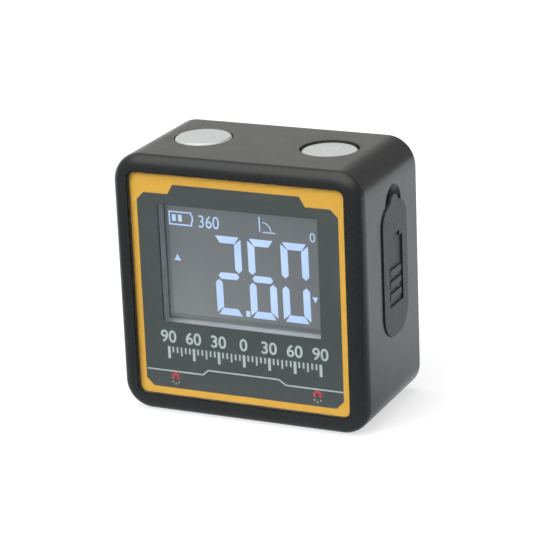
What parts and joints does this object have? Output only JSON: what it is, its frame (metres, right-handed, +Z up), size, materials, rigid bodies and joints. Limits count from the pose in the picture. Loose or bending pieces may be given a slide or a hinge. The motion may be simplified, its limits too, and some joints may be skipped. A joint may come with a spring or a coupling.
{
  "type": "digital inclinometer",
  "caption": "Square pocket digital inclinometer with a front display window, two push buttons on top, a rubber port flap on its side and a flat magnetic base.",
  "frame": {"origin": "middle of the flat resting face", "axes": "+Z up from the resting face, -Y towards the person who reads the display, +X to that person's right, where the port flap is"},
  "size_m": [0.0523, 0.028, 0.0523],
  "materials": {
    "housing_plastic": "satin moulded",
    "cover_plastic": "satin moulded",
    "steel_screw": "zinc plated",
    "clear_acrylic": "polished clear",
    "amber_ink": "printed",
    "dark_ink": "printed",
    "black_foam": "foam",
    "smoke_polarizer": "polished",
    "display_glass": "polished",
    "diffuser_film": "frosted",
    "guide_acrylic": "polished clear",
    "white_plastic": "moulded",
    "tinned_metal": "tinned",
    "board_laminate": "solder mask",
    "chip_resin": "moulded",
    "ceramic_part": "ceramic",
    "socket_steel": "plated",
    "black_resin": "moulded",
    "battery_foil": "foil laminate",
    "lead_insulation": "flexible insulation",
    "connector_nylon": "moulded",
    "switch_resin": "moulded",
    "silver_cap": "satin silver paint",
    "magnet_nickel": "nickel plated",
    "flap_rubber": "matt moulded"
  },
  "bodies": {
    "case": {"housing": "housing_plastic", "rear_cover": "cover_plastic", "rear_cover_screws": "steel_screw", "front_lens": "clear_acrylic", "lens_border_print": "amber_ink", "lens_panel_print": "dark_ink", "lens_tape": "black_foam", "display_gasket": "black_foam", "lcd_polarizer_front": "smoke_polarizer", "lcd_cell": "display_glass", "lcd_polarizer_rear": "smoke_polarizer", "lcd_diffuser": "diffuser_film", "lcd_light_guide": "guide_acrylic", "lcd_backlight_leds": "white_plastic", "lcd_frame": "white_plastic", "lcd_pins": "tinned_metal", "main_board": "board_laminate", "board_screws": "steel_screw", "microcontroller": "chip_resin", "tilt_sensor": "chip_resin", "charger_chip": "chip_resin", "board_components": "ceramic_part", "usb_socket_shell": "socket_steel", "usb_socket_tongue": "black_resin", "battery_cell": "battery_foil", "battery_protection_board": "board_laminate", "battery_pad": "black_foam", "battery_leads": "lead_insulation", "battery_plug": "connector_nylon", "battery_connector": "connector_nylon", "power_switch_body": "switch_resin", "zero_switch_body": "switch_resin", "base_magnet_left": "magnet_nickel", "base_magnet_right": "magnet_nickel", "flap_anchor": "flap_rubber"},
    "power_key": {"power_button": "silver_cap", "power_switch_plunger": "switch_resin"},
    "zero_key": {"zero_button": "silver_cap", "zero_switch_plunger": "switch_resin"},
    "flap": {"port_flap": "flap_rubber"}
  },
  "joints": [
    {"name": "power_press", "type": "slide", "parent": "case", "child": "power_key", "axis": [0, 0, -1], "range_m": [0, 0.0004], "stiffness_N_per_m": 1200, "springref_m": -0.0005},
    {"name": "zero_press", "type": "slide", "parent": "case", "child": "zero_key", "axis": [0, 0, -1], "range_m": [0, 0.0004], "stiffness_N_per_m": 1200, "springref_m": -0.0005},
    {"name": "flap_swing", "type": "hinge", "parent": "case", "child": "flap", "pos_m": [0.0263, 0.00158, 0.0204], "axis": [0, 1, 0], "range_deg": [0, 120], "stiffness_Nm_per_rad": 0.0006}
  ]
}
